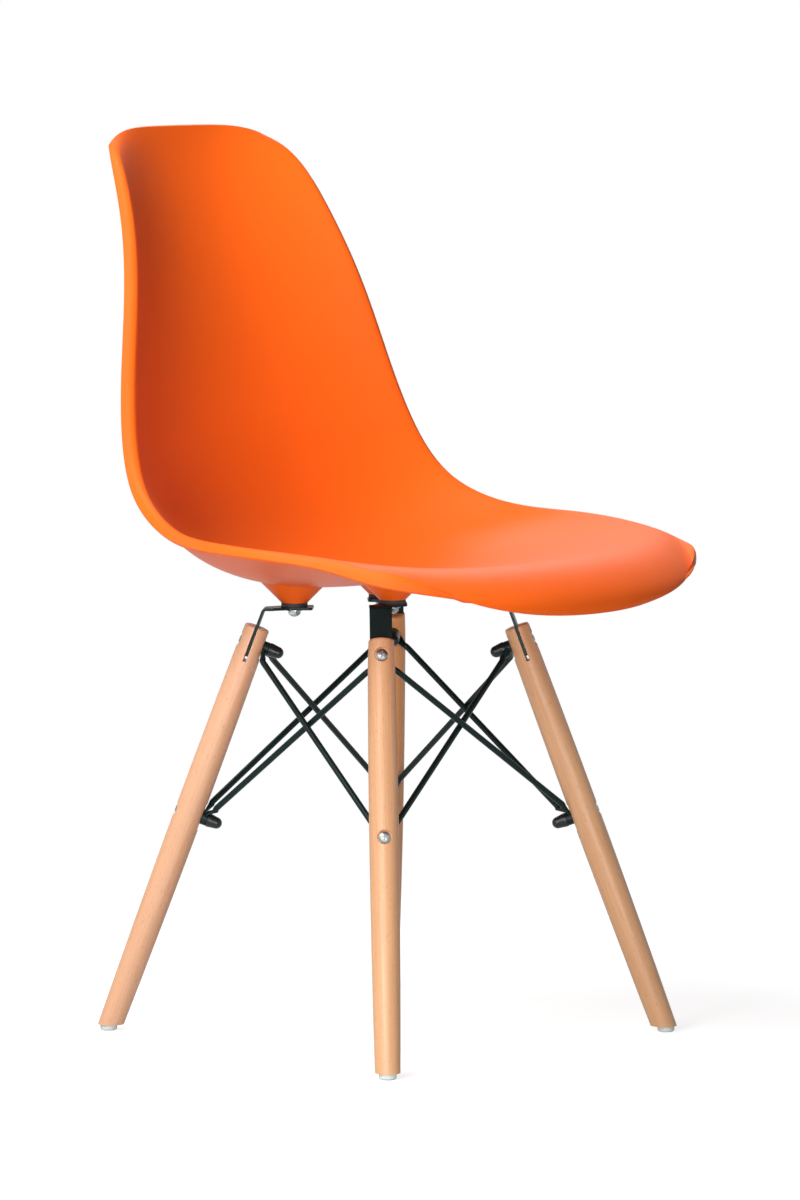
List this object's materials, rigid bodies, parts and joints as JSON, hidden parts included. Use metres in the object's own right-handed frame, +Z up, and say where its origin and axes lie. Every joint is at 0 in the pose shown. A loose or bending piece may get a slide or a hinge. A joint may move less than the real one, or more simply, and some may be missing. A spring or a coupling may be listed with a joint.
{
  "type": "moulded plastic shell chair",
  "caption": "Side chair with a one-piece moulded bucket shell on slanting turned wooden legs braced by crossing steel rods.",
  "frame": {"origin": "on the floor, at the middle of the chair's overall box", "axes": "+Z up, the chair faces -Y, +X is the sitter's left"},
  "size_m": [0.4722, 0.5429, 0.8199],
  "materials": {
    "shell_plastic": "fine satin moulded polypropylene, through-coloured orange",
    "leg_wood": "clear matt lacquer on turned beech, grain along the leg",
    "black_steel": "satin black powder coat",
    "zinc_steel": "bright zinc plate",
    "black_cap": "gloss black",
    "pad_rubber": "matt black rubber",
    "insert_brass": "plain turned brass",
    "glide_plastic": "pale translucent nylon"
  },
  "bodies": {
    "root": {"seat_shell": "shell_plastic", "boss_inserts": "insert_brass", "shell_bolts": "zinc_steel", "shell_bolt_washers": "zinc_steel", "mount_pad_front_right": "pad_rubber", "bracket_front_right": "black_steel", "leg_front_right": "leg_wood", "foot_glide_front_right": "glide_plastic", "mount_pad_front_left": "pad_rubber", "bracket_front_left": "black_steel", "leg_front_left": "leg_wood", "foot_glide_front_left": "glide_plastic", "mount_pad_rear_left": "pad_rubber", "bracket_rear_left": "black_steel", "leg_rear_left": "leg_wood", "foot_glide_rear_left": "glide_plastic", "mount_pad_rear_right": "pad_rubber", "bracket_rear_right": "black_steel", "leg_rear_right": "leg_wood", "foot_glide_rear_right": "glide_plastic", "glide_nails": "zinc_steel", "upper_leg_bolts": "zinc_steel", "lower_leg_bolts": "zinc_steel", "upper_cap_nuts": "black_cap", "lower_cap_nuts": "black_cap", "rod_front_right_to_front_left": "black_steel", "rod_front_right_to_rear_right": "black_steel", "rod_front_left_to_rear_left": "black_steel", "rod_front_left_to_front_right": "black_steel", "rod_rear_left_to_rear_right": "black_steel", "rod_rear_left_to_front_left": "black_steel", "rod_rear_right_to_front_right": "black_steel", "rod_rear_right_to_rear_left": "black_steel"}
  },
  "joints": []
}
